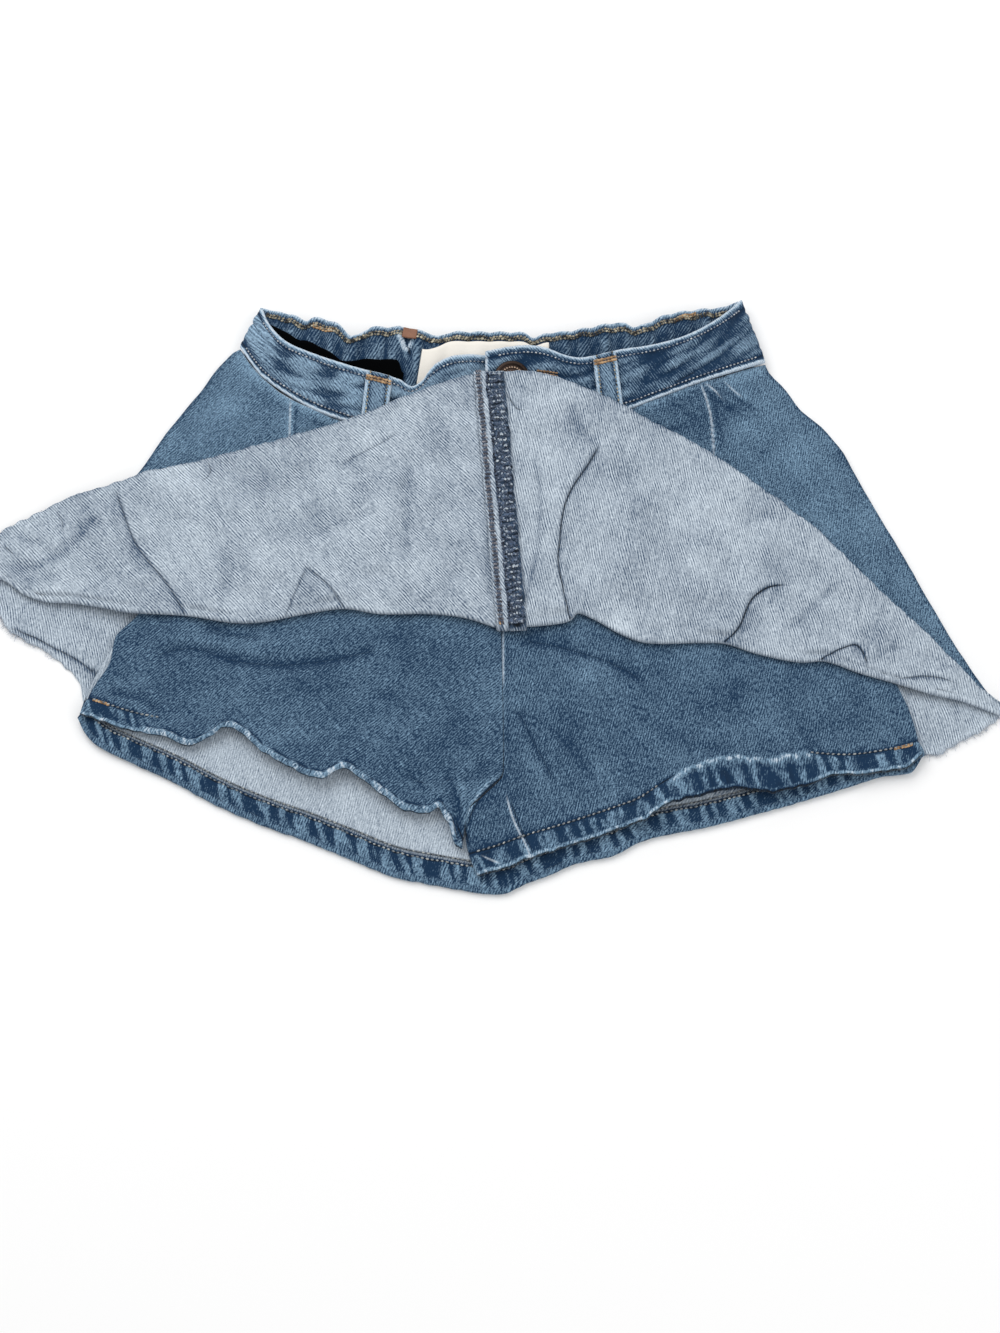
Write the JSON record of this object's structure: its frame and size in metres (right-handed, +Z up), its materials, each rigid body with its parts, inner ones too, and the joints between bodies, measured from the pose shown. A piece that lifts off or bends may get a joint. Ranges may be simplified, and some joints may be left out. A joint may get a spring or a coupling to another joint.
{
  "type": "denim skort",
  "caption": "Denim skort laid flat on its back, the front of its flared skirt turned up over the waistband so that the shorts beneath show.",
  "frame": {"origin": "middle of the part's bounding box, on the surface that it lies on", "axes": "+X to the wearer's left side, +Y from the hem to the waist, +Z up from the surface, out of the front of the garment"},
  "size_m": [0.4876, 0.3056, 0.0211],
  "materials": {
    "denim_face": "matte",
    "denim_wrong_side": "matte",
    "label_cloth": "satin",
    "patch_leather": "satin",
    "facing_cloth": "matte",
    "button_metal": "satin"
  },
  "bodies": {
    "root": {"waistband_front_left": "denim_face", "waistband_front_right": "denim_face", "waistband_back": "denim_face", "facing": "facing_cloth", "label": "label_cloth", "patch": "patch_leather", "belt_loop_left": "denim_face", "belt_loop_right": "denim_face", "button": "button_metal", "shorts_front_left": "denim_face", "shorts_front_right": "denim_face", "shorts_back_left": "denim_face", "shorts_back_right": "denim_face", "skirt_back": "denim_wrong_side", "skirt_front_left": "denim_wrong_side", "skirt_front_right": "denim_wrong_side", "skirt_front_allowance": "denim_face"}
  },
  "joints": []
}
